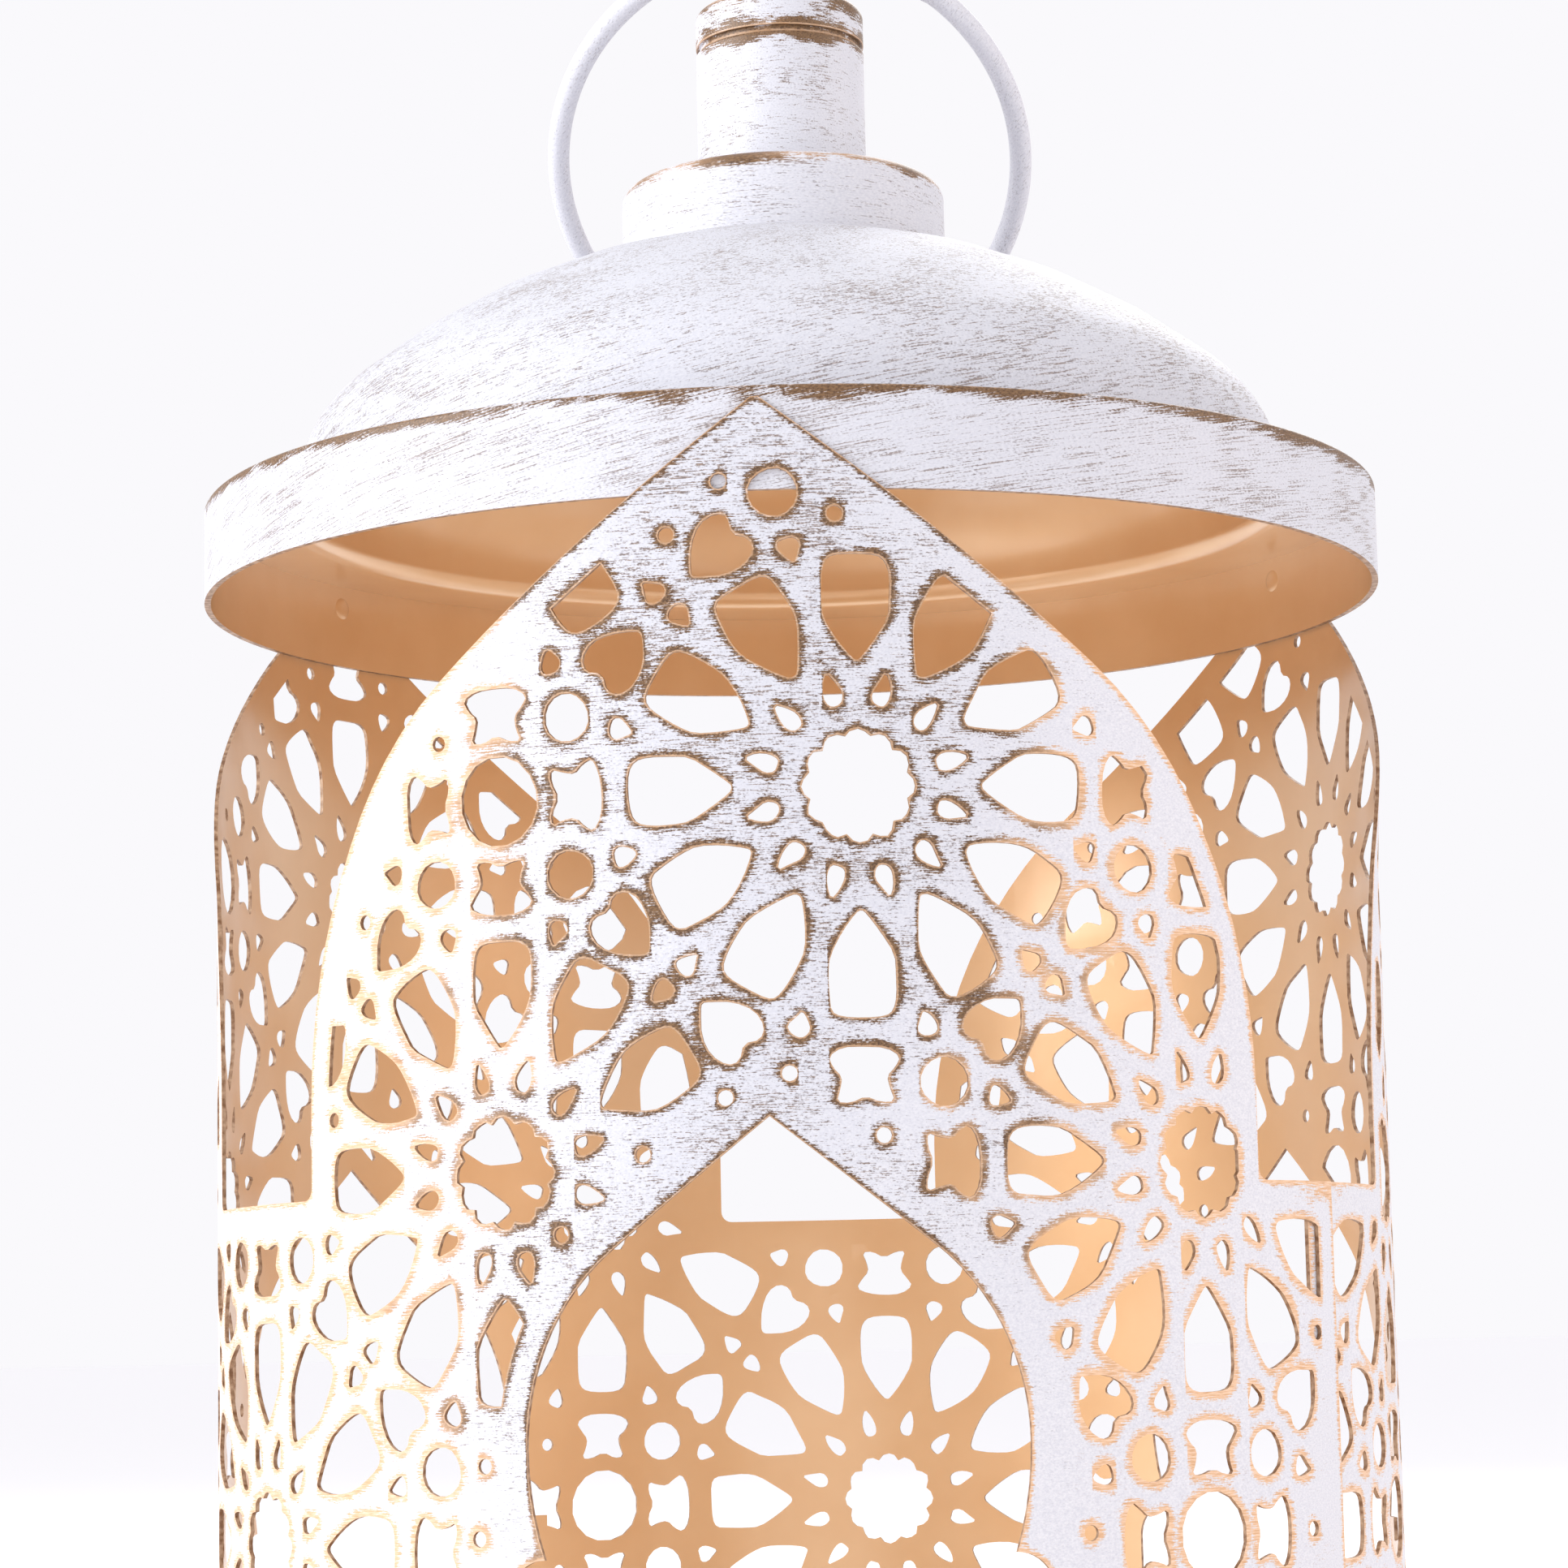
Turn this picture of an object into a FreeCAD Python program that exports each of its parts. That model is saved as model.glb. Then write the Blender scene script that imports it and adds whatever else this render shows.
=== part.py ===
import FreeCAD, Part
import math
import os
import re
import Sketcher

# Hanging lantern in painted sheet steel: a rolled, arched shell on a pressed base, a spun cap,
# a stem with a turned knob, and a wire ring that swings in the knob's eye.
# Frame: +Z up, origin at the middle of the underside, front doorway towards -Y. Millimetres, degrees.

SIZES = {
    # rolled shell; widths and radii are measured along the flat sheet
    "body_radius": 75.0,  # outer face
    "shell_sheet": 0.5,
    "ledge_height": 106.0,  # top edge of the low wall between two arches, above the underside
    "arch_count": 3,
    "arch_rise": 89.0,  # arch tip above the ledge
    "arch_half_width": 62.6,  # at the ledge
    "arch_round": 61.3,  # shoulder of the arch
    "arch_upright": 10.6,  # plumb side above the ledge
    "tip_flat": 0.8,  # blunted tip
    "arch_lean": 2.0,  # outwards, so that the tips lap over the skirt
    "lean_rise": 40.0,  # height above the ledge where the lean begins
    "ledge_corner": 1.5,
    "doorway_apex": 7.4,  # point of the doorway above the ledge
    "doorway_half_width": 29.0,
    "doorway_round": 27.7,
    "doorway_drop": 28.9,  # widest place below the ledge
    "horseshoe_round": 37.0,  # below the widest place
    "cusp_drop": 41.2,  # cusp below the ledge
    "bracket_round": 4.6,  # from the cusp out to the jamb
    "sill_height": 14.0,  # above the underside
    "sill_corner": 2.5,
    "seam_angle": 59.0,  # visible edge of the lap seam, from the front towards +X
    "seam_lap": 5.0,  # the outer end reaches back from the visible edge over the inner end
    # base pan
    "pan_sheet": 0.8,
    "bead_height": 3.0,  # rolled bead that the lantern stands on
    "bead_overhang": 2.1,  # outside the shell
    "bead_width": 4.0,
    "bead_edge": 1.2,
    "pan_upstand": 10.0,  # inside the shell
    # spun cap
    "cap_sheet": 0.8,
    "skirt_rise": 78.3,  # lower edge of the skirt above the ledge
    "skirt_height": 12.2,
    "dome_foot": 64.8,  # outer radius of the dome at its shoulder
    "dome_bend": 1.5,  # between the shoulder and the dome
    "dome_side": 18.0,  # tighter arc of the dome, beside the foot
    "crown_rise": 36.4,  # crown above the skirt
    # stem
    "stem_sheet": 0.8,
    "collar_radius": 21.4,
    "collar_rise": 7.4,  # collar top above the crown
    "collar_edge": 2.0,
    "stem_radius": 11.2,
    "stem_height": 18.9,  # tube above the collar
    "groove_depth": 0.5,
    "groove_height": 0.8,  # between the tube and the stem cap
    "spigot_length": 4.0,  # stem cap inside the tube
    "stem_cap_height": 5.0,  # above the groove
    "stem_cap_edge": 1.4,
    # knob, rod, washer and nut
    "neck_radius": 5.6,
    "ball_radius": 7.5,
    "eye_rise": 9.4,  # middle of the eye above the stem cap
    "eye_radius": 3.0,
    "rod_radius": 2.0,
    "rod_grip": 4.5,  # rod inside the knob
    "rod_tail": 7.0,  # rod below the washer's face
    "washer_radius": 6.0,
    "washer_thickness": 1.0,
    "nut_flats": 7.0,
    "nut_height": 3.2,
    # hanging ring
    "ring_radius": 32.0,  # to the middle of the wire
    "wire_radius": 1.5,
    # candle plate and pin
    "plate_radius": 36.0,
    "plate_sheet": 0.8,
    "plate_rim": 6.0,
    "plate_edge": 2.0,
    "shank_radius": 2.0,  # of the pin, through the plate and the pan
    "pin_radius": 1.5,
    "pin_height": 16.0,  # above the plate
    "pin_point": 6.0,
    "pin_head_radius": 4.0,
    "pin_head": 1.0,
    # fits
    "hole_clearance": 0.1,  # round a shank or a spigot
    "seat_clearance": 0.02,  # under an edge that stands on a curved face
    "rest_clearance": 0.35,  # between the resting ring and the dome
}

doc = FreeCAD.newDocument("Lantern")
sheet = doc.addObject("Spreadsheet::Sheet", "Sizes")
for row, (alias, number) in enumerate(SIZES.items(), start=1):
    sheet.set(f"A{row}", alias)
    sheet.set(f"B{row}", str(number))
    sheet.setAlias(f"B{row}", alias)
doc.recompute()

# Shared places, written as expressions of the driving dimensions.
INNER = "(body_radius - shell_sheet)"
SKIRT = "(body_radius - shell_sheet + arch_lean)"
SKIRT_BOTTOM = "(ledge_height + skirt_rise)"
SHOULDER = "(ledge_height + skirt_rise + skirt_height)"
CROWN = f"({SHOULDER} + crown_rise)"
DOME_SPRING = f"({SHOULDER} + dome_bend)"  # where the dome leaves its plumb foot
SIDE_CENTRE = "(dome_foot - dome_side)"
SIDE_GAP = "(crown_rise - dome_bend - dome_side)"
CENTRE_DROP = f"(({SIDE_CENTRE}^2 - {SIDE_GAP}^2) / (2 * {SIDE_GAP}))"
CROWN_RADIUS = f"(crown_rise - dome_bend + {CENTRE_DROP})"
CROWN_CENTRE = f"({CROWN} - {CROWN_RADIUS})"
COLLAR_TOP = f"({CROWN} + collar_rise)"
TUBE_TOP = f"({COLLAR_TOP} + stem_height)"
STEM_TOP = f"({TUBE_TOP} + groove_height + stem_cap_height)"
EYE = f"({STEM_TOP} + eye_rise)"
ROD_HOLE = "(rod_radius + hole_clearance)"
PIN_HOLE = "(shank_radius + hole_clearance)"
PAN_UNDER = "(bead_height - pan_sheet)"
PLATE_TOP = "(bead_height + plate_sheet)"

parts = []


def cells(expression):
    """The expression as another object reads it: each driving dimension is a cell of the sheet."""
    return re.sub(r"\b([a-z]+(?:_[a-z]+)+)\b", r"Sizes.\1", expression)


def value(expression):
    """The expression worked out, in millimetres."""
    number = sheet.evalExpression(cells(expression))
    return float(getattr(number, "Value", number))


def part(obj, label):
    """Names a finished sub-part."""
    obj.Label = label
    parts.append(obj)
    return obj


def bind(obj, **expressions):
    """Binds properties such as Radius or Placement.Base.z, written with __ for the dots."""
    for name, expression in expressions.items():
        obj.setExpression(name.replace("__", "."), cells(expression))
    return obj


def on_crown(radius, inset="0"):
    """Height of the dome's crown at a radius; inset moves it inwards by a wall."""
    return f"({CROWN_CENTRE} + sqrt(({CROWN_RADIUS} - {inset})^2 - ({radius})^2))"


def origin_plane(body, role):
    return next(f for f in body.Origin.OriginFeatures if f.Role == role)


def new_sketch(body, role):
    sketch = body.newObject("Sketcher::SketchObject", body.Name + "Sketch")
    sketch.AttachmentSupport = [(origin_plane(body, role), "")]
    sketch.MapMode = "FlatFace"
    return sketch


def fix(sketch, axis, geometry, end, expression):
    """Holds one coordinate of a point: on the axis where it is nothing, else at its expression."""
    if expression == "0":
        line = -2 if axis == "X" else -1
        sketch.addConstraint(Sketcher.Constraint("PointOnObject", geometry, end, line))
        return
    number = sketch.addConstraint(
        Sketcher.Constraint("Distance" + axis, geometry, end, value(expression)))
    sketch.setExpression(f"Constraints[{number}]", cells(expression))


def arc_between(start, end, radius, turn):
    """An arc of a circle from start to end: turn is 1 anticlockwise, -1 clockwise."""
    chord = end - start
    middle = (start + end) * 0.5
    across = FreeCAD.Vector(-chord.y, chord.x, 0).normalize()
    off = math.sqrt(max(radius**2 - (chord.Length / 2) ** 2, 0.0))
    centre = middle + across * (off * turn)
    circle = Part.Circle(centre, FreeCAD.Vector(0, 0, 1), radius)
    ends = [circle.parameter(p) for p in (start, end)]
    return Part.ArcOfCircle(circle, *(ends if turn > 0 else reversed(ends)))


def turned(label, profile, between=None, finished=True):
    """A body of revolution about Z. The profile is a closed run of (radius, height) expressions.

    A third and fourth entry make the stretch that leads to that corner an arc: its radius,
    and 1 for anticlockwise or -1 for clockwise. between adds features before the part is named,
    and a body that isn't finished is left for other features to use.
    """
    body = doc.addObject("PartDesign::Body", "Body_" + label)
    sketch = new_sketch(body, "XZ_Plane")
    corners = [FreeCAD.Vector(value(c[0]), value(c[1]), 0) for c in profile]
    ends = []  # (geometry, its start point, its end point) along the run
    for i, corner in enumerate(profile):
        start, end = corners[i - 1], corners[i]
        if len(corner) == 4:
            g = sketch.addGeometry(arc_between(start, end, value(corner[2]), corner[3]))
            ends.append((g, 1, 2) if corner[3] > 0 else (g, 2, 1))
            number = sketch.addConstraint(Sketcher.Constraint("Radius", g, value(corner[2])))
            sketch.setExpression(f"Constraints[{number}]", cells(corner[2]))
        else:
            ends.append((sketch.addGeometry(Part.LineSegment(start, end)), 1, 2))
    for i, (g, _, last) in enumerate(ends):
        after, first, _ = ends[(i + 1) % len(ends)]
        sketch.addConstraint(Sketcher.Constraint("Coincident", g, last, after, first))
        fix(sketch, "X", g, last, profile[i][0])
        fix(sketch, "Y", g, last, profile[i][1])
    turn = body.newObject("PartDesign::Revolution", body.Name + "Turn")
    turn.Profile = sketch
    turn.ReferenceAxis = (sketch, ["V_Axis"])
    turn.Angle = 360
    body.Tip = turn
    if between:
        between(body)
    return part(body, label) if finished else body


# --- rolled shell ---------------------------------------------------------------------------------

def arch_side():
    """One side of an arch on the flat sheet, from its tip down to the ledge, as lists of points.

    Each list is one smooth stretch; x runs along the sheet from the arch's middle, y is height.
    """
    ledge = value("ledge_height")
    return pointed_side(
        half_tip=value("tip_flat / 2"),
        tip=ledge + value("arch_rise"),
        centre=(value("arch_half_width - arch_round"), ledge + value("arch_upright")),
        radius=value("arch_round"),
    )


def pointed_side(half_tip, tip, centre, radius):
    """A straight slope from a pointed tip, then the arc it is tangent to, down to plumb."""
    cx, cy = centre
    to_tip = math.hypot(half_tip - cx, tip - cy)
    bearing = math.atan2(tip - cy, half_tip - cx)
    touch = bearing - math.acos(radius / to_tip)
    foot = (cx + radius * math.cos(touch), cy + radius * math.sin(touch))
    return [[(half_tip, tip), foot], arc_points(cx, cy, radius, touch, 0.0)]


def arc_points(cx, cy, radius, start, end, step=math.radians(4)):
    """Points along an arc of the flat sheet, from start to end in radians."""
    n = max(2, math.ceil(abs(end - start) / step))
    turns = [start + (end - start) * i / n for i in range(n + 1)]
    return [(cx + radius * math.cos(a), cy + radius * math.sin(a)) for a in turns]


def gap_side():
    """The edge of the gap between two arches, on one side: slope, arc, upright, corner, ledge."""
    ledge, corner = value("ledge_height"), value("ledge_corner")
    half = value("arch_half_width")
    slope, shoulder = arch_side()
    corner_arc = arc_points(half + corner, ledge + corner, corner, math.pi, 1.5 * math.pi)
    return [slope, shoulder, [shoulder[-1], corner_arc[0]], corner_arc]


def doorway_side():
    """One side of a doorway, from its point down to the middle of the sill."""
    ledge, sill = value("ledge_height"), value("sill_height")
    half, widest = value("doorway_half_width"), ledge - value("doorway_drop")
    upper, lower = value("doorway_round"), value("horseshoe_round")
    slope, arc = pointed_side(0.0, ledge + value("doorway_apex"), (half - upper, widest), upper)
    fall = math.asin(value("cusp_drop - doorway_drop") / lower)
    horseshoe = arc_points(half - lower, widest, lower, 0.0, -fall)
    cusp = horseshoe[-1]
    bracket = value("bracket_round")
    out = arc_points(cusp[0], cusp[1] - bracket, bracket, math.pi / 2, 0.0, math.radians(9))
    corner = value("sill_corner")
    jamb = cusp[0] + bracket
    foot = arc_points(jamb - corner, sill + corner, corner, 0.0, -math.pi / 2)
    return [slope, arc, horseshoe, out, [out[-1], foot[0]], foot]


def radial_cutter(sides, axis_angle):
    """A cutter whose walls all point at the lantern's axis, as if the sheet were cut flat and rolled.

    sides are the stretches of its closed outline on the flat sheet, centred on the cutter's own axis.
    """
    radius = value("body_radius")

    def section(distance):
        edges = []
        for stretch in sides:
            spots = [FreeCAD.Vector(distance * math.tan(s / radius), -distance, z)
                     for s, z in refined(stretch)]
            plumb = abs(spots[0].x - spots[-1].x) < 1e-6 or abs(spots[0].z - spots[-1].z) < 1e-6
            if len(spots) == 2 or plumb:
                edges.append(Part.LineSegment(spots[0], spots[-1]).toShape())
            else:
                curve = Part.BSplineCurve()
                curve.interpolate(spots)
                edges.append(curve.toShape())
        return Part.Wire(edges)

    near, far = 0.4 * radius, 1.15 * radius
    solid = Part.makeLoft([section(near), section(far)], True, True)
    solid.rotate(FreeCAD.Vector(), FreeCAD.Vector(0, 0, 1), axis_angle)
    return solid


def refined(stretch, steps=8):
    """A straight slope gets points along it, because it bends once the sheet is rolled."""
    if len(stretch) > 2:
        return stretch
    (s0, z0), (s1, z1) = stretch
    return [(s0 + (s1 - s0) * i / steps, z0 + (z1 - z0) * i / steps) for i in range(steps + 1)]


def mirrored(sides, about=0.0):
    """The same stretches on the other side of a plumb line, run the other way."""
    return [[(2 * about - s, z) for s, z in reversed(stretch)] for stretch in reversed(sides)]


def shell():
    """The rolled sheet: a tube less the gaps between arches and the doorways, and its lap seam."""
    lean_start, tip = "ledge_height + lean_rise", "ledge_height + arch_rise"
    tube = turned("shell_tube", [
        (INNER, "bead_height"),
        ("body_radius", "bead_height"),
        ("body_radius", lean_start),
        ("body_radius + arch_lean", SKIRT_BOTTOM),
        ("body_radius + arch_lean", tip),
        (SKIRT, tip),
        (SKIRT, SKIRT_BOTTOM),
        (INNER, lean_start),
    ], finished=False)

    count, radius = int(value("arch_count")), value("body_radius")
    pitch = 360.0 / count
    half_pitch = math.pi * radius / count  # along the sheet, from an arch's middle to a gap's
    left = [[(s - half_pitch, z) for s, z in stretch] for stretch in gap_side()]
    ledge = [left[-1][-1], (-left[-1][-1][0], left[-1][-1][1])]
    tip = left[0][0]
    above = tip[1] + 1.0
    lid = [[(-tip[0], tip[1]), (-tip[0], above)], [(-tip[0], above), (tip[0], above)],
           [(tip[0], above), tip]]
    gap = left + [ledge] + mirrored(left) + lid
    right = doorway_side()
    sill = [right[-1][-1], (-right[-1][-1][0], right[-1][-1][1])]
    doorway = right + [sill] + mirrored(right)
    cutters = doc.addObject("Part::Feature", "ShellCutters")
    shapes = [radial_cutter(gap, pitch * (i + 0.5)) for i in range(count)]
    shapes += [radial_cutter(doorway, pitch * i) for i in range(count)]
    cutters.Shape = Part.makeCompound(shapes)
    cut = doc.addObject("Part::Cut", "ShellCut")
    cut.Base, cut.Tool = tube, cutters

    strip = doc.addObject("Part::Cylinder", "SeamOuter")
    seam_span = "(seam_lap / body_radius * 180 / pi)"
    bind(strip, Radius="body_radius + shell_sheet", Height="ledge_height - bead_height",
         Angle=seam_span, Placement__Base__z="bead_height")
    strip.Placement.Rotation = FreeCAD.Rotation(FreeCAD.Vector(0, 0, 1), 0)
    bind(strip, Placement__Rotation__Angle=f"seam_angle - {seam_span} + 270")
    core = doc.addObject("Part::Cylinder", "SeamInner")
    bind(core, Radius="body_radius", Height="ledge_height + arch_rise")
    lap = doc.addObject("Part::Cut", "SeamLap")
    lap.Base, lap.Tool = strip, core
    whole = doc.addObject("Part::MultiFuse", "RolledShell")
    whole.Shapes = [cut, lap]
    return part(whole, "body_shell")


# --- base, cap and stem ---------------------------------------------------------------------------

def base_pan():
    rim = "(body_radius + bead_overhang)"
    turned("base_pan", [
        (PIN_HOLE, PAN_UNDER),
        (f"{rim} - bead_width", PAN_UNDER),
        (f"{rim} - bead_width", "0"),
        (f"{rim} - bead_edge", "0"),
        (rim, "bead_edge", "bead_edge", 1),
        (rim, "bead_height - bead_edge"),
        (f"{rim} - bead_edge", "bead_height", "bead_edge", 1),
        (INNER, "bead_height"),
        (INNER, "bead_height + pan_upstand"),
        (f"{INNER} - pan_sheet", "bead_height + pan_upstand"),
        (f"{INNER} - pan_sheet", "bead_height"),
        (PIN_HOLE, "bead_height"),
    ])


def cap():
    """Skirt, shoulder and dome, spun from one disc. The shell's tips lie on the skirt."""
    wall = "cap_sheet"
    outer = f"({CROWN_RADIUS} / ({CROWN_RADIUS} - dome_side))"
    inner = f"(({CROWN_RADIUS} - {wall}) / ({CROWN_RADIUS} - dome_side))"
    meet = f"({CROWN_CENTRE} + {CENTRE_DROP} * {outer})"
    meet_inside = f"({CROWN_CENTRE} + {CENTRE_DROP} * {inner})"
    turned("cap", [
        (SKIRT, SKIRT_BOTTOM),
        (SKIRT, SHOULDER),
        ("dome_foot + dome_bend", SHOULDER),
        ("dome_foot", DOME_SPRING, "dome_bend", -1),
        (f"{SIDE_CENTRE} * {outer}", meet, "dome_side", 1),
        (ROD_HOLE, on_crown(ROD_HOLE), CROWN_RADIUS, 1),
        (ROD_HOLE, on_crown(ROD_HOLE, wall)),
        (f"{SIDE_CENTRE} * {inner}", meet_inside, f"{CROWN_RADIUS} - {wall}", -1),
        (f"dome_foot - {wall}", DOME_SPRING, f"dome_side - {wall}", -1),
        ("dome_foot + dome_bend", f"{SHOULDER} - {wall}", f"dome_bend + {wall}", 1),
        (f"{SKIRT} - {wall}", f"{SHOULDER} - {wall}"),
        (f"{SKIRT} - {wall}", SKIRT_BOTTOM),
    ])


def collar():
    """A drawn cup, upside down, whose edge stands on the dome."""
    wall, edge = "stem_sheet", "collar_edge"
    turned("collar", [
        ("collar_radius", on_crown("collar_radius") + " + seat_clearance"),
        ("collar_radius", f"{COLLAR_TOP} - {edge}"),
        (f"collar_radius - {edge}", COLLAR_TOP, edge, 1),
        (ROD_HOLE, COLLAR_TOP),
        (ROD_HOLE, f"{COLLAR_TOP} - {wall}"),
        (f"collar_radius - {edge}", f"{COLLAR_TOP} - {wall}"),
        (f"collar_radius - {wall}", f"{COLLAR_TOP} - {edge}", f"{edge} - {wall}", -1),
        (f"collar_radius - {wall}", on_crown(f"collar_radius - {wall}") + " + seat_clearance"),
    ])


def stem():
    wall, edge = "stem_sheet", "stem_cap_edge"
    bore = f"(stem_radius - {wall})"
    turned("stem_tube", [
        (bore, COLLAR_TOP),
        ("stem_radius", COLLAR_TOP),
        ("stem_radius", f"{TUBE_TOP} - groove_depth"),
        ("stem_radius - groove_depth", TUBE_TOP, "groove_depth", 1),
        (bore, TUBE_TOP),
    ])
    spigot = f"({bore} - hole_clearance)"
    turned("stem_cap", [
        (ROD_HOLE, f"{TUBE_TOP} - spigot_length"),
        (spigot, f"{TUBE_TOP} - spigot_length"),
        (spigot, TUBE_TOP),
        ("stem_radius - groove_depth", TUBE_TOP),
        ("stem_radius - groove_depth", f"{TUBE_TOP} + groove_height"),
        ("stem_radius", f"{TUBE_TOP} + groove_height"),
        ("stem_radius", f"{STEM_TOP} - {edge}"),
        (f"stem_radius - {edge}", STEM_TOP, edge, 1),
        (ROD_HOLE, STEM_TOP),
    ])


def knob():
    """Turned neck and ball, with a cross hole for the ring and a blind hole for the rod."""
    def eye(body):
        sketch = new_sketch(body, "YZ_Plane")
        g = sketch.addGeometry(Part.Circle(
            FreeCAD.Vector(0, value(EYE), 0), FreeCAD.Vector(0, 0, 1), value("eye_radius")))
        fix(sketch, "X", g, 3, "0")
        fix(sketch, "Y", g, 3, EYE)
        number = sketch.addConstraint(Sketcher.Constraint("Radius", g, value("eye_radius")))
        sketch.setExpression(f"Constraints[{number}]", cells("eye_radius"))
        hole = body.newObject("PartDesign::Pocket", "Eye")
        hole.Profile = sketch
        hole.Midplane = True
        hole.Type = "Length"
        bind(hole, Length="4 * ball_radius")
        body.Tip = hole

    turned("knob", [
        ("rod_radius", STEM_TOP),
        ("neck_radius", STEM_TOP),
        ("neck_radius", f"{EYE} - sqrt(ball_radius^2 - neck_radius^2)"),
        ("0", f"{EYE} + ball_radius", "ball_radius", 1),
        ("0", f"{STEM_TOP} + rod_grip"),
        ("rod_radius", f"{STEM_TOP} + rod_grip"),
    ], between=eye)


def rod_and_nut():
    seat = on_crown("washer_radius", "cap_sheet") + " - seat_clearance"
    rod = doc.addObject("Part::Cylinder", "Rod")
    bind(rod, Radius="rod_radius", Placement__Base__z=f"{seat} - washer_thickness - rod_tail",
         Height=f"{STEM_TOP} + rod_grip - ({seat} - washer_thickness - rod_tail)")
    part(rod, "tie_rod")
    turned("rod_washer", [
        (ROD_HOLE, f"{seat} - washer_thickness"),
        ("washer_radius", f"{seat} - washer_thickness"),
        ("washer_radius", seat),
        (ROD_HOLE, seat),
    ])
    blank = doc.addObject("Part::Prism", "NutBlank")
    blank.Polygon = 6
    bind(blank, Circumradius="nut_flats / sqrt(3)", Height="nut_height",
         Placement__Base__z=f"{seat} - washer_thickness - nut_height")
    bore = doc.addObject("Part::Cylinder", "NutBore")
    bind(bore, Radius="rod_radius", Height="3 * nut_height",
         Placement__Base__z=f"{seat} - washer_thickness - 2 * nut_height")
    nut = doc.addObject("Part::Cut", "Nut")
    nut.Base, nut.Tool = blank, bore
    part(nut, "rod_nut")


def hanging_ring():
    """The ring hangs from the middle of the eye and leans back until it rests on the dome."""
    ring = doc.addObject("Part::Torus", "Ring")
    height = f"({EYE} - {CROWN_CENTRE})"
    reach = f"({CROWN_RADIUS} + wire_radius + rest_clearance)"
    lean = f"acos((4 * ring_radius^2 + {height}^2 - {reach}^2) / (4 * {height} * ring_radius))"
    ring.Placement.Rotation = FreeCAD.Rotation(FreeCAD.Vector(-1, 0, 0), 45)
    bind(ring, Radius1="ring_radius", Radius2="wire_radius",
         Placement__Rotation__Angle=f"90 - {lean} / 1deg",
         Placement__Base__y=f"ring_radius * sin({lean})",
         Placement__Base__z=f"{EYE} - ring_radius * cos({lean})")
    print("ring leans", round(value(lean), 3), "eye height", round(value(EYE), 3))
    return part(ring, "hanging_ring")


def candle_holder():
    edge, wall = "plate_edge", "plate_sheet"
    turned("candle_plate", [
        (PIN_HOLE, "bead_height"),
        (f"plate_radius - {edge}", "bead_height"),
        ("plate_radius", f"bead_height + {edge}", edge, 1),
        ("plate_radius", "bead_height + plate_rim"),
        (f"plate_radius - {wall}", "bead_height + plate_rim"),
        (f"plate_radius - {wall}", f"bead_height + {edge}"),
        (f"plate_radius - {edge}", PLATE_TOP, f"{edge} - {wall}", -1),
        (PIN_HOLE, PLATE_TOP),
    ])
    turned("candle_pin", [
        ("0", f"{PAN_UNDER} - pin_head"),
        ("pin_head_radius", f"{PAN_UNDER} - pin_head"),
        ("pin_head_radius", PAN_UNDER),
        ("shank_radius", PAN_UNDER),
        ("shank_radius", PLATE_TOP),
        ("pin_radius", PLATE_TOP),
        ("pin_radius", f"{PLATE_TOP} + pin_height - pin_point"),
        ("0", f"{PLATE_TOP} + pin_height"),
    ])


shell()
base_pan()
cap()
collar()
stem()
knob()
rod_and_nut()
hanging_ring()
candle_holder()
doc.recompute()

faults = [o.Label for o in doc.Objects if {"Invalid", "Error"} & set(o.State)]
faults += [p.Label for p in parts if p.Shape.isNull() or not p.Shape.isValid()]
if faults:
    raise RuntimeError("these failed: " + ", ".join(faults))

os.makedirs("parts", exist_ok=True)
for p in parts:
    p.Shape.exportStep(f"parts/{p.Label}.step")
    box = p.Shape.BoundBox
    print(f"{p.Label:14s} {len(p.Shape.Solids)} solid  {p.Shape.Volume:10.1f} mm3 "
          f" z {box.ZMin:.2f}..{box.ZMax:.2f}  x {box.XMin:.2f}..{box.XMax:.2f}")
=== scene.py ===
# %% [markdown]
# A hanging candle lantern of thin sheet steel: a pierced shell with three pointed arches, a spun
# cap on top of them, a stem with a knob, and a ring of wire that swings in the knob's eye. The
# imported CAD model is loaded first and never changed: it is the frame that every piece here keeps
# to.

# %% Load the frame
import math
import random

import bmesh
import bpy
import numpy as np
from mathutils import Matrix, Vector, geometry
from mathutils.bvhtree import BVHTree


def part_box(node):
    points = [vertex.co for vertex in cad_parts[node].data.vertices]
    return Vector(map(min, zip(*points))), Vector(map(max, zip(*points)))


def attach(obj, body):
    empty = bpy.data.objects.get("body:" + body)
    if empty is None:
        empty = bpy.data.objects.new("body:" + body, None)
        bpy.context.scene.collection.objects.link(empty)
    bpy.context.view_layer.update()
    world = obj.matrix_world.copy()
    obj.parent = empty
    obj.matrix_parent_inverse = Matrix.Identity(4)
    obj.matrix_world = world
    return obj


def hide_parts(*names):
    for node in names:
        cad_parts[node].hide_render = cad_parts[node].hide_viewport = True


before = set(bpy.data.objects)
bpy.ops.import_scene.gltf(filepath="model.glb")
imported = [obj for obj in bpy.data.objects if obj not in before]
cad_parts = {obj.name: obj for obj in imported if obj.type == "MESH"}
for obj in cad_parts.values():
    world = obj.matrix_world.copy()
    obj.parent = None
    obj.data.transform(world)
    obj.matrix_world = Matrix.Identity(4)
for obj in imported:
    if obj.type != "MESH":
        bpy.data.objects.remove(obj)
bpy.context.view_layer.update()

MM = 0.001
scene = bpy.context.scene

# %% [markdown]
# The camera stands a little over half a metre from the lantern's axis, at the height of the
# doorways, and looks up a few degrees, so that the arches open in front of the underside of the
# cap. A long lens keeps the plumb edges nearly parallel. Its place is worked out from the axis,
# so three turns in a row are easier to follow than one tracking constraint: round the lantern,
# up to the level, then the slight roll.

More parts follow.
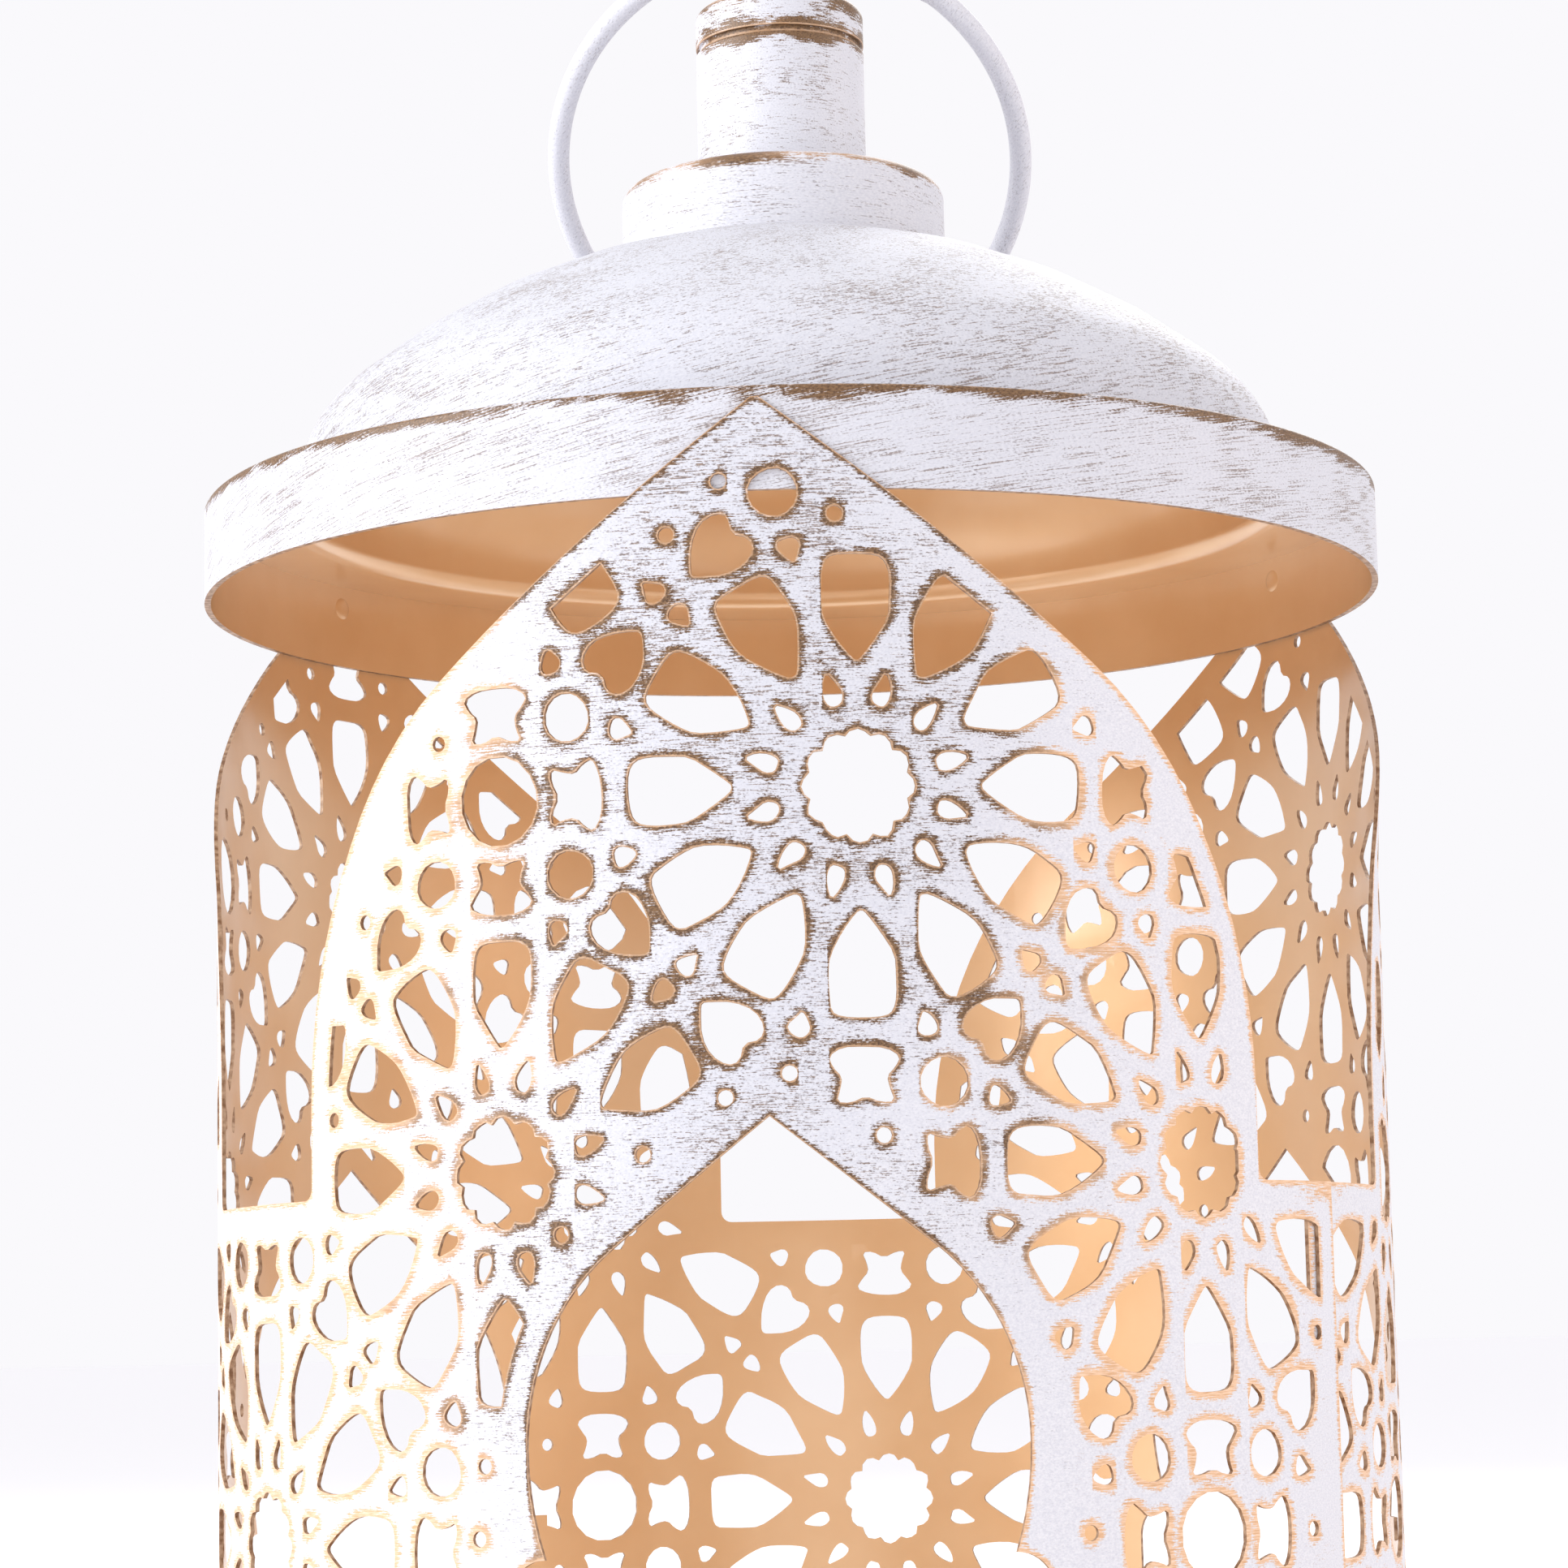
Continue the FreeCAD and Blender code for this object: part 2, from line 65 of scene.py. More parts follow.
# %% Camera
LEDGE = 106.0  # top of the low wall between two arches, in millimetres
RADIUS = 75.0  # outside of the shell
camera = bpy.data.objects.new("camera", bpy.data.cameras.new("camera"))
scene.collection.objects.link(camera)
scene.camera = camera
camera.data.sensor_width, camera.data.lens = 36.0, 95.76
camera.data.clip_start, camera.data.clip_end = 0.01, 60.0
distance, around, height = 540.8 * MM, math.radians(2.8), (LEDGE - 17.7) * MM
aim, pitch, roll = math.radians(2.955), math.radians(97.63), math.radians(-1.19)
stand = Matrix.Translation((distance * math.sin(around), -distance * math.cos(around), height))
camera.matrix_world = (stand @ Matrix.Rotation(aim, 4, "Z") @ Matrix.Rotation(pitch, 4, "X")
                       @ Matrix.Rotation(roll, 4, "Z"))
print("camera", [round(v, 3) for v in camera.matrix_world.translation])

# %% [markdown]
# The stage is a plain white table that runs on until it meets a white surround, so the lantern
# stands in soft light from everywhere. One broad lamp on the left makes that side the brightest,
# a weaker and warmer one on the right shapes the other side, a small one high behind the
# shoulder of the cap draws its edge, and a faint one low in front lights the gold under the
# cap. The display transform is the plain one, because a filmic one greys a white ground.

# %% Stage and light
def hex_colour(code, alpha=1.0):
    """An sRGB hex colour as the linear values that Blender mixes."""
    parts = [int(code[i:i + 2], 16) / 255 for i in (0, 2, 4)]
    linear = [p / 12.92 if p <= 0.04045 else ((p + 0.055) / 1.055) ** 2.4 for p in parts]
    return (*linear, alpha)


scene.view_settings.view_transform = "Standard"
world = bpy.data.worlds.new("white surround")
world.use_nodes = True
scene.world = world
world.node_tree.nodes["Background"].inputs["Color"].default_value = hex_colour("FAF9FC")
world.node_tree.nodes["Background"].inputs["Strength"].default_value = 1.0

TABLE_REACH = 40.0  # metres, so that its far edge is lost in the surround
table = bmesh.new()
bmesh.ops.create_circle(table, cap_ends=True, segments=96, radius=TABLE_REACH)
mesh = bpy.data.meshes.new("table")
table.to_mesh(mesh)
table.free()
floor = bpy.data.objects.new("table", mesh)
scene.collection.objects.link(floor)
floor_paint = bpy.data.materials.new("white laminate, smooth")
floor_paint.use_nodes = True
floor_shader = floor_paint.node_tree.nodes["Principled BSDF"]
floor_shader.inputs["Base Color"].default_value = hex_colour("FEFDFF")
floor_shader.inputs["Roughness"].default_value = 0.6
mesh.materials.append(floor_paint)


def lamp(name, place, size, watts, colour, aim_at=(0, 0, 0.15)):
    """A square soft box that faces the lantern."""
    light = bpy.data.lights.new(name, "AREA")
    light.size, light.energy, light.color = size, watts, hex_colour(colour)[:3]
    obj = bpy.data.objects.new(name, light)
    scene.collection.objects.link(obj)
    turn = (Vector(aim_at) - Vector(place)).to_track_quat("-Z", "Y")
    obj.matrix_world = Matrix.Translation(place) @ turn.to_matrix().to_4x4()


lamp("left soft box", (-1.4, -0.6, 0.8), 1.1, 22, "FFFFFF")
lamp("right soft box", (1.4, -0.3, 0.6), 0.9, 4.0, "FFE6D2")
lamp("rim lamp", (0.4, 1.3, 1.2), 0.8, 7, "FFFFFF")
lamp("low front card", (0.1, -1.2, -0.1), 0.7, 0.9, "FFF4E4", aim_at=(0, 0, 0.2))

# %% [markdown]
# Every finish below is a small tree of nodes. One function adds a node with its settings and its
# links and hands back one of its outputs, so a material reads as a list of steps. An input is
# either another step's output or a plain value, and an underscore before a number picks an input
# by its place where several share a name.

# %% Node helper
def start_material(name):
    """A new node material, and the function that adds its nodes."""
    material = bpy.data.materials.new(name)
    material.use_nodes = True
    tree = material.node_tree

    def add(kind, settings=None, out=0, node=None, **inputs):
        node = node or tree.nodes.new("ShaderNode" + kind)
        for key, setting in (settings or {}).items():
            setattr(node, key, setting)
        for key, entry in inputs.items():
            by_place = key[1:].isdigit()
            socket = node.inputs[int(key[1:]) if by_place else key.replace("_", " ")]
            if isinstance(entry, bpy.types.NodeSocket):
                tree.links.new(entry, socket)
            else:
                socket.default_value = entry
        return node.outputs[out]

    return material, add, tree.nodes["Principled BSDF"]


def per_metre(*sizes):
    """Noise scales, per metre, for a pattern whose features are these sizes in millimetres."""
    return tuple(1 / (size * MM) for size in sizes)


# settings that come up often
TIMES = {"operation": "MULTIPLY"}
TIMES_PLUS = {"operation": "MULTIPLY_ADD"}
SOFTLY = {"interpolation_type": "SMOOTHSTEP"}
COLOURS = {"data_type": "RGBA"}


# %% [markdown]
# The outside is white enamel, sprayed over a gold lacquer and then dragged nearly dry with an
# umber glaze. It gives the eye three things: a ragged brown halo where the glaze caught on the
# burr round a hole, fine level streaks in between, and a tan line where the enamel is thin over
# an edge and the gold shows. The mesh carries two numbers per point: "rim", the distance to the
# nearest cut edge in millimetres, and "umber", how much glaze that part of the lantern kept.
# The rest is noise at real sizes. A round piece was turned under the brush, so there the noise
# is laid out along the way round, the distance from the axis and the height.

# %% White enamel with umber glaze
# sizes are in millimetres: along the brush, away from the axis, and up
STREAK = (1.9, 0.3, 0.15)  # one mark of the brush, made coarse enough to show
CAP_STREAK = (4.5, 0.3, 0.17)  # the marks are longer on the cap
SPECKLE = (0.32, 0.32, 0.20)  # where the marks break up over the paint's grain
PATCH = (11.0, 11.0, 5.0)  # what one loaded stroke covered
EDGE_LINE = (0.26, 0.10)  # the tan line ends and is full this far from the edge
GLAZE_RELIEF = 0.06  # how far the paint stands above the worn edges


def glazed_enamel(name, tilt=0.0, halo=1.5, drag=1.0, around=None, streak=STREAK, patchy=0.3):
    """White enamel under an umber glaze; tilt leans the brush marks, drag is how many there are.

    The marks run level round a piece of the radius that around gives, in millimetres; halo is
    how far the glaze reaches from an edge, and patchy how much it comes and goes there.
    """
    material, add, shader = start_material(name)
    place = add("TexCoord", out="Object")
    if around:
        apart = add("SeparateXYZ", Vector=place).node.outputs
        turn = add("Math", {"operation": "ARCTAN2"}, _0=apart[0],
                   _1=add("Math", TIMES, _0=apart[1], _1=-1.0))
        reach = add("VectorMath", {"operation": "LENGTH"}, out=1,
                    _0=add("CombineXYZ", X=apart[0], Y=apart[1]))
        place = add("CombineXYZ", Y=reach, Z=apart[2],
                    X=add("Math", TIMES, _0=turn, _1=around * MM))
    leaned = add("Mapping", Vector=place, Rotation=(0.0, tilt, 0.0))
    marks, grain, patches = [
        add("TexNoise", Scale=1.0, Detail=detail, Roughness=0.6,
            Vector=add("Mapping", Vector=leaned, Scale=per_metre(*sizes)))
        for sizes, detail in ((streak, 3.0), (SPECKLE, 2.0), (PATCH, 2.0))]
    rim = add("Attribute", {"attribute_name": "rim"}, out="Fac")
    umber = add("Attribute", {"attribute_name": "umber"}, out="Fac")

    # the three noises, stretched to run from about -1 to 1
    ragged = add("Math", TIMES_PLUS, _0=marks, _1=6.0, _2=-3.0)
    uneven = add("Math", TIMES_PLUS, _0=patches, _1=4.0, _2=-2.0)
    broken = add("Math", TIMES_PLUS, _0=grain, _1=4.0, _2=-2.0)

    # the halo round a hole: nearly full at the edge, ragged where it ends
    near = add("MapRange", Value=rim, From_Min=0.15 * halo, From_Max=halo, To_Min=1.0,
               To_Max=0.0)
    worn = near
    for noise, share in ((ragged, 0.40), (uneven, patchy), (broken, 0.30)):
        worn = add("Math", TIMES_PLUS, _0=noise, _1=share, _2=worn)
    ring = add("MapRange", SOFTLY, Value=worn, From_Min=0.40, From_Max=0.78)
    ring = add("Math", TIMES, _0=ring, _1=add("MapRange", SOFTLY, Value=near, From_Max=0.3))
    lip = add("MapRange", SOFTLY, From_Min=EDGE_LINE[0], From_Max=EDGE_LINE[1],
              Value=add("Math", TIMES_PLUS, _0=broken, _1=0.06, _2=rim))

    # dry streaks on the open paint, thicker where the stroke was loaded
    loaded = ragged
    for noise, share in ((uneven, 0.55), (broken, 0.75), (umber, 0.9)):
        loaded = add("Math", TIMES_PLUS, _0=noise, _1=share, _2=loaded)
    dry = add("MapRange", SOFTLY, Value=loaded, From_Min=0.9, From_Max=1.75, To_Max=0.8 * drag)
    dry = add("Math", {"operation": "MULTIPLY", "use_clamp": True}, _0=dry,
              _1=add("MapRange", Value=umber, From_Min=0.0, From_Max=0.6, To_Min=0.25))

    # the paint, a thin film of glaze that greys it, the glaze itself, and the gold showing
    enamel = add("Mix", COLOURS, out=2, _6=hex_colour("DEDEE3"), _7=hex_colour("C8C9D2"),
                 _0=add("MapRange", Value=broken, From_Min=-0.9, From_Max=0.9))
    film = add("MapRange", Value=umber, From_Min=0.2, From_Max=1.1, To_Max=0.38)
    enamel = add("Mix", COLOURS, out=2, _0=film, _6=enamel, _7=hex_colour("B0B3BF"))
    glaze = add("Mix", COLOURS, out=2, _6=hex_colour("80603F"), _7=hex_colour("4A311E"),
                _0=add("MapRange", Value=broken, From_Min=-0.5, From_Max=0.7))
    tan = add("Mix", COLOURS, out=2, _6=hex_colour("E8C4A4"), _7=hex_colour("CA9A6E"),
              _0=add("MapRange", Value=ragged, From_Min=-0.5, From_Max=0.9))

    # laid over each other: streaks on the paint, then the halo, then the tan line at the edge
    kept = add("MapRange", SOFTLY, From_Min=0.2, From_Max=0.6,
               Value=add("Math", TIMES_PLUS, _0=uneven, _1=0.22, _2=umber))
    halo_colour = add("Mix", COLOURS, out=2, _0=kept, _6=tan, _7=glaze)
    streaked = add("Mix", COLOURS, out=2, _0=dry, _6=enamel, _7=glaze)
    colour = add("Mix", COLOURS, out=2, _0=ring, _6=streaked, _7=halo_colour)
    bare = add("Math", TIMES, _0=lip, _1=0.55)
    colour = add("Mix", COLOURS, out=2, _0=bare, _6=colour, _7=tan)
    relief = add("Math", TIMES_PLUS, _0=ring, _1=-0.8, _2=marks)
    bump = add("Bump", Height=relief, Strength=0.35, Distance=GLAZE_RELIEF * MM)
    rough = add("MapRange", Value=ring, To_Min=0.5, To_Max=0.4)
    add("", node=shader, Base_Color=colour, Normal=bump, Roughness=rough)
    return material


enamel_level = glazed_enamel("white enamel, dry-brushed level", around=RADIUS)
enamel_leaning = glazed_enamel("white enamel, dry-brushed leaning", tilt=math.radians(14),
                               halo=2.4, drag=0.85, around=58.0, streak=CAP_STREAK, patchy=0.8)
enamel_stem = glazed_enamel("white enamel, dry-brushed small", halo=2.2, around=14.0, patchy=0.9)
enamel_ring = glazed_enamel("white enamel, dipped", tilt=math.radians(50), drag=0.45)
print("enamels", [m.name for m in bpy.data.materials])

# %% [markdown]
# Inside, the steel keeps its gold lacquer: a clear coat with fine bronze powder in it, sprayed,
# so it is satin and even, and throws warm light back through the holes. Seen along its surface
# the clear coat pales it. The powder is too fine to show, so the lacquer's pattern is the faint
# clouding that a spray gun leaves, 14 mm across. Where the sheet was cut, the edge is thin,
# paler where enamel crept over it and brown where glaze stayed; its brown is also made darker as
# painted shade, standing in for the shadow on the edge's dark side. The rod, washer and nut are
# zinc-plated steel: grey, with a fine cloudy grain.

# %% Gold lacquer, cut edges and plated steel
def speckled(name, light, dark, size, metallic, roughness, relief=0.03, coat=0.0):
    """A finish of two colours in specks of about that size, in millimetres."""
    material, add, shader = start_material(name)
    specks = add("TexNoise", Scale=1.0, Detail=3.0, Vector=add(
        "Mapping", Vector=add("TexCoord", out="Object"), Scale=per_metre(size, size, size)))
    amount = add("MapRange", Value=specks, From_Min=0.35, From_Max=0.65)
    colour = add("Mix", COLOURS, out=2, _0=amount, _6=hex_colour(light), _7=hex_colour(dark))
    bump = add("Bump", Height=specks, Strength=0.25, Distance=relief * MM)
    add("", node=shader, Base_Color=colour, Normal=bump, Metallic=metallic, Roughness=roughness,
        Coat_Weight=coat, Coat_Roughness=0.2)
    return material


lacquer = speckled("gold lacquer, sprayed", "E4BE90", "DFB686", size=14.0,
                   metallic=0.55, roughness=0.38, relief=0.0, coat=1.0)
# the cut edges: glaze brown, made darker as painted shade for the shadow side of each edge
edge_glaze_and_painted_shade = speckled("sheet steel, cut edge, glazed and with painted shade", "B89B80", "7A5638", size=0.9,
                    metallic=0.1, roughness=0.5)
plated = speckled("steel, zinc plated", "C9C8C2", "A8A69E", size=1.2,
                  metallic=1.0, roughness=0.34)
sheet_finishes = (enamel_level, lacquer, edge_glaze_and_painted_shade)
print("finishes", len(bpy.data.materials))

# %% [markdown]
# The shell starts as a flat strip. Its outline is worked out the way a template is drawn: three
# pointed arches stand on a low wall, each over a horseshoe doorway, and the strip is a little
# longer than the way round, because its ends overlap in a seam between two arches. Lengths are
# in millimetres, s along the strip from the middle of the front arch and z up. Arcs are drawn
# as points here because the outline is only a guide for the cut, not yet a mesh.

# %% Template: strip, arches and doorways
SHEET = 0.5
FOOT, SILL = 3.0, 14.0
ARCHES = 3
ARCH_HALF, ARCH_ROUND, ARCH_UPRIGHT, ARCH_RISE = 62.6, 61.3, 10.6, 89.0
LEDGE_CORNER = 1.5
DOOR_HALF, DOOR_ROUND, DOOR_APEX, DOOR_DROP = 29.0, 27.7, 7.4, 28.9
HORSESHOE, CUSP_DROP, BRACKET, SILL_CORNER = 37.0, 41.2, 4.6, 2.5
SEAM_LAP = 5.0
ARCH_LEAN, LEAN_FROM, SKIRT_LOW = 2.0, LEDGE + 40.0, LEDGE + 78.3
arch_pitch = 2 * math.pi * RADIUS / ARCHES
seam = RADIUS * math.radians(59.0)
strip_start = seam - 2 * math.pi * RADIUS - SEAM_LAP


def arc(centre, radius, start, end, step=4.0):
    """Points along an arc, from start to end in degrees."""
    count = max(2, math.ceil(abs(end - start) / step))
    turns = [math.radians(start + (end - start) * i / count) for i in range(count + 1)]
    return [(centre[0] + radius * math.cos(t), centre[1] + radius * math.sin(t)) for t in turns]


def pointed_side(centre, radius, tip, inset):
    """Down one side of a pointed arch whose full-size tip is given: the slope, then its arc."""
    dx, dz = tip[0] - centre[0], tip[1] - centre[1]
    touch = math.atan2(dz, dx) - math.acos(radius / math.hypot(dx, dz))
    top = centre[1] + (radius - inset + (centre[0] - tip[0]) * math.cos(touch)) / math.sin(touch)
    return [(tip[0], top)] + arc(centre, radius - inset, math.degrees(touch), 0.0)


def arch_side(inset=0.0):
    """The right side of an arch; the sheet's own tip is cut blunt, a border's is not."""
    blunt = 0.4 if inset == 0 else 0.0
    return pointed_side((ARCH_HALF - ARCH_ROUND, LEDGE + ARCH_UPRIGHT), ARCH_ROUND,
                        (blunt, LEDGE + ARCH_RISE), inset)


def both_sides(right):
    """A closed outline from its right-hand side, top to bottom."""
    return right + [(-s, z) for s, z in reversed(right)]


widest = LEDGE - DOOR_DROP
fall = math.degrees(math.asin((CUSP_DROP - DOOR_DROP) / HORSESHOE))
cusp = (DOOR_HALF - HORSESHOE + HORSESHOE * math.cos(math.radians(fall)), LEDGE - CUSP_DROP)
jamb = cusp[0] + BRACKET


def door_top(grow=0.0):
    """The right side of a doorway's head, from its apex down to the cusp."""
    side = pointed_side((DOOR_HALF - DOOR_ROUND, widest), DOOR_ROUND,
                        (0.0, LEDGE + DOOR_APEX), -grow)
    return side + arc((DOOR_HALF - HORSESHOE, widest), HORSESHOE + grow, 0.0, -fall)[1:]


door_foot = (arc((cusp[0], cusp[1] - BRACKET), BRACKET, 90.0, 0.0, 9.0)[1:]
             + arc((jamb - SILL_CORNER, SILL + SILL_CORNER), SILL_CORNER, 0.0, -90.0, 15.0))
doorway = both_sides(door_top() + door_foot)

strip = [(strip_start, FOOT), (seam, FOOT), (seam, LEDGE)]
for number in range(ARCHES):
    middle = -number * arch_pitch
    corner = arc((ARCH_HALF + LEDGE_CORNER, LEDGE + LEDGE_CORNER), LEDGE_CORNER, 270.0, 180.0, 15.0)
    side = corner + arch_side()[::-1]
    strip += [(middle + s, z) for s, z in side + [(-s, z) for s, z in reversed(side)]]
strip.append((strip_start, LEDGE))
doorways = [[(s - n * arch_pitch, z) for s, z in doorway] for n in range(ARCHES)]
print("strip", round(seam - strip_start, 1), "mm long, outline of", len(strip), "points")

# %% [markdown]
# The pierced pattern is a square lattice that was cut in the flat: at every other node a big
# rosette, whose scalloped middle has twelve seeds round it, then twelve petals, then twelve
# smaller seeds; at the nodes between, an octagon with four crowns, four small octagons and four
# hearts. Each shape is drawn from a few corners, half of it where it is the same both ways. Its
# corners are first moved by up to 0.12 mm each way, so no two holes are quite alike, and are
# then cut back once, all but the scalloped middle's, which softens them as a laser's path does.

# %% Shapes of the holes
LATTICE = 42.4  # from one node to the next, in millimetres
FIRST_ROSETTE = (10.8, LEDGE + 44.4)
HAND = 0.0028   # how far a corner strays, as a part of the lattice
chance = random.Random(11)


def mirrored(half):
    """Both halves of a shape that is the same on either side of its own axis."""
    return half + [(a, -b) for a, b in reversed(half) if b > 0]


def softened(corners, times):
    """The outline with each corner cut back to a quarter of its two sides."""
    for _ in range(times):
        ahead = corners[1:] + corners[:1]
        corners = [(p[0] * (1 - k) + q[0] * k, p[1] * (1 - k) + q[1] * k)
                   for p, q in zip(corners, ahead) for k in (0.25, 0.75)]
    return corners


def lobed(lobes, outer, notch, points=4):
    """A scalloped round; outer and notch are the radii of its lobes and between them."""
    turns = [2 * math.pi * i / (lobes * points) for i in range(lobes * points)]
    radii = [notch + (outer - notch) * abs(math.cos(lobes * t / 2)) ** 0.8 for t in turns]
    return [(r * math.cos(t), r * math.sin(t)) for r, t in zip(radii, turns)]


def octagon(radius):
    turns = [math.pi / 8 + math.pi * i / 4 for i in range(8)]
    return [(radius * math.cos(t), radius * math.sin(t)) for t in turns]


# shape: corners, how often it is softened, the bearings that it lies at
ROSETTE = [
    (lobed(12, 0.1525, 0.1345), 0, [0]),
    (mirrored([(0.220, 0.0), (0.224, 0.018), (0.248, 0.026), (0.282, 0.016), (0.312, 0.0)]), 1,
     range(15, 375, 30)),
    (mirrored([(0.334, 0.0), (0.341, 0.013), (0.390, 0.050), (0.452, 0.086), (0.500, 0.0915),
               (0.560, 0.090), (0.600, 0.083), (0.617, 0.058), (0.620, 0.0)]), 1,
     range(0, 360, 30)),
    (mirrored([(0.620, 0.0), (0.636, 0.014), (0.664, 0.030), (0.684, 0.023), (0.688, 0.0)]), 1,
     range(15, 375, 30)),
]
CROSSING = [
    (octagon(0.127), 1, [0]),
    (mirrored([(0.308, 0.0), (0.303, 0.060), (0.281, 0.098), (0.252, 0.082), (0.228, 0.058),
               (0.195, 0.064), (0.162, 0.078), (0.160, 0.042), (0.178, 0.0)]), 1,
     range(0, 360, 90)),
    ([(0.2988 + a, b) for a, b in octagon(0.069)], 1, range(45, 405, 90)),
    (mirrored([(0.606, 0.0), (0.596, 0.016), (0.548, 0.062), (0.492, 0.083), (0.444, 0.072),
               (0.428, 0.040), (0.452, 0.0)]), 1, range(45, 405, 90)),
]


def holes_at(node_s, node_z, shapes):
    """The outlines of one node's holes, in millimetres on the strip."""
    found = []
    for corners, times, bearings in shapes:
        for bearing in bearings:
            turn = math.radians(bearing)
            loose = [(a + chance.uniform(-HAND, HAND), b + chance.uniform(-HAND, HAND))
                     for a, b in corners]
            found.append([(node_s + LATTICE * (a * math.cos(turn) - b * math.sin(turn)),
                           node_z + LATTICE * (a * math.sin(turn) + b * math.cos(turn)))
                          for a, b in softened(loose, times)])
    return found


ROWS = range(-4, 3)  # rows of nodes that reach the sheet, counted from the first rosette
holes = []
for i in range(math.floor((strip_start - FIRST_ROSETTE[0]) / LATTICE) - 1,
               math.ceil((seam - FIRST_ROSETTE[0]) / LATTICE) + 2):
    for j in ROWS:
        node = (FIRST_ROSETTE[0] + i * LATTICE, FIRST_ROSETTE[1] + j * LATTICE)
        holes += holes_at(*node, CROSSING if (i + j) % 2 else ROSETTE)
print("holes drawn", len(holes), "with", sum(len(h) for h in holes), "points")

# %% [markdown]
# A solid border runs along every edge of the sheet, round the doorways and along both ends of
# the strip. A hole that reaches into it is cut off there if about half of it or more is left.
# A small hole that the border would clip, or a large one with less left, is a plain dot instead
# where there is room for one, and is otherwise left out.

# %% Border, and which holes are kept
BORDER = 3.6
PAN_RIM = 16.5  # no holes below this: the pan's upstand is behind the sheet


def inside(points, loop):
    """Which points lie in a closed loop: a level ray from one crosses it an odd number of times."""
    x, z = points[:, :1], points[:, 1:]
    a = np.array(loop)
    b = np.roll(a, -1, axis=0)
    crosses = (a[:, 1] > z) != (b[:, 1] > z)
    rise = np.where(b[:, 1] == a[:, 1], 1.0, b[:, 1] - a[:, 1])
    at = a[:, 0] + (z - a[:, 1]) * (b[:, 0] - a[:, 0]) / rise
    return (crosses & (x < at)).sum(axis=1) % 2 == 1


field = [(strip_start + BORDER, PAN_RIM), (seam - BORDER, PAN_RIM), (seam - BORDER, LEDGE - BORDER)]
for number in range(ARCHES):
    side = [(ARCH_HALF - BORDER, LEDGE - BORDER)] + arch_side(BORDER)[::-1]
    side += [(-s, z) for s, z in reversed(side[:-1])]
    field += [(s - number * arch_pitch, z) for s, z in side]
field.append((strip_start + BORDER, LEDGE - BORDER))
JAMB_TOP, JAMB_FOOT = cusp[1] - 0.2, SILL - 9.0
frames = []
for number in range(ARCHES):
    for band in (both_sides(door_top(BORDER)),
                 both_sides([(jamb + BORDER, JAMB_TOP), (jamb + BORDER, JAMB_FOOT)])):
        frames.append([(s - number * arch_pitch, z) for s, z in band])


def in_field(points):
    """Which points lie where the sheet may be pierced."""
    points = np.array(points)
    free = inside(points, field)
    for band in frames:
        free &= ~inside(points, band)
    return free


DOT, SMALL = 0.9, 6.0  # a dot's radius; a hole smaller than this isn't clipped
CLIP_FROM, DOT_FROM = 0.45, 0.3  # how much of a hole has to be clear of the border
kept, clipped, dots = [], [], 0
for hole in holes:
    free = in_field(hole)
    points = np.array(hole)
    size = np.ptp(points, axis=0).max()
    if free.all():
        kept.append(hole)
    elif size > SMALL and free.mean() > CLIP_FROM:
        clipped.append(hole)
    elif free.mean() > DOT_FROM:
        middle = points[free].mean(axis=0)
        dot = arc(middle, DOT, 0, 330, 30)
        if in_field(dot).all():
            kept.append(dot)
            dots += 1
print("whole", len(kept) - dots, "clipped", len(clipped), "dots", dots)

# %% [markdown]
# Now the flat sheet becomes a mesh. A filled curve would leave slivers that fold badly when the
# sheet is rolled, so the outline, the holes, a plumb bend line every 2.5 degrees and a guide
# ring round each hole are triangulated together by Blender's constrained triangulation, and a
# triangle stays where its middle is on steel. The guide rings hold the points that let the
# glaze fade out from the cut edges.

# %% Cut the flat sheet
GLAZE_RING = 1.4  # guide ring outside a hole, in millimetres
MANY_POINTS = 16  # a guide ring takes every other point of a hole that has more than this
BEND = RADIUS * math.radians(2.5)


def grown(loop, by):
    """The loop moved outwards along its own normals."""
    p = np.array(loop)
    along = np.roll(p, -1, axis=0) - np.roll(p, 1, axis=0)
    along /= np.maximum(np.hypot(*along.T), 1e-9)[:, None]
    return p + by * np.column_stack((along[:, 1], -along[:, 0]))


def anticlockwise(loop):
    """The same outline, run so that its outside is on the right."""
    p = np.array(loop)
    q = np.roll(p, -1, axis=0)
    return p if np.sum(p[:, 0] * q[:, 1] - q[:, 0] * p[:, 1]) > 0 else p[::-1]


def marked(loop):
    """Adds an outline to the drawing, as edges that the triangles have to follow."""
    first = len(spots)
    spots.extend(Vector(p) for p in loop)
    ring = list(range(first, len(spots)))
    lines.extend(zip(ring, ring[1:] + ring[:1]))


spots, lines = [], []
strip, *doorways = [anticlockwise(loop) for loop in (strip, *doorways)]
kept, clipped = [[anticlockwise(loop) for loop in group] for group in (kept, clipped)]
for loop in [strip, field] + doorways + frames + kept + clipped:
    marked(loop)
for loop in kept + clipped:
    marked(grown(loop[::2] if len(loop) > MANY_POINTS else loop, GLAZE_RING))
marked(grown(strip, -GLAZE_RING))
for loop in doorways:
    marked(grown(loop, GLAZE_RING))
s = strip_start + BEND
while s < seam:
    first = len(spots)
    spots += [Vector((s, 0.0)), Vector((s, LEDGE + ARCH_RISE + 1.0))]
    lines.append((first, first + 1))
    s += BEND
flat, _, triangles, *_ = geometry.delaunay_2d_cdt(spots, lines, [], 0, 1e-4)
flat = np.array(flat)
middles = flat[np.array(triangles)].mean(axis=1)


def within(loop):
    """Which triangles have their middle in the outline; most are ruled out by its box first."""
    loop = np.array(loop)
    near = ((middles > loop.min(axis=0)) & (middles < loop.max(axis=0))).all(axis=1)
    near[near] = inside(middles[near], loop)
    return near


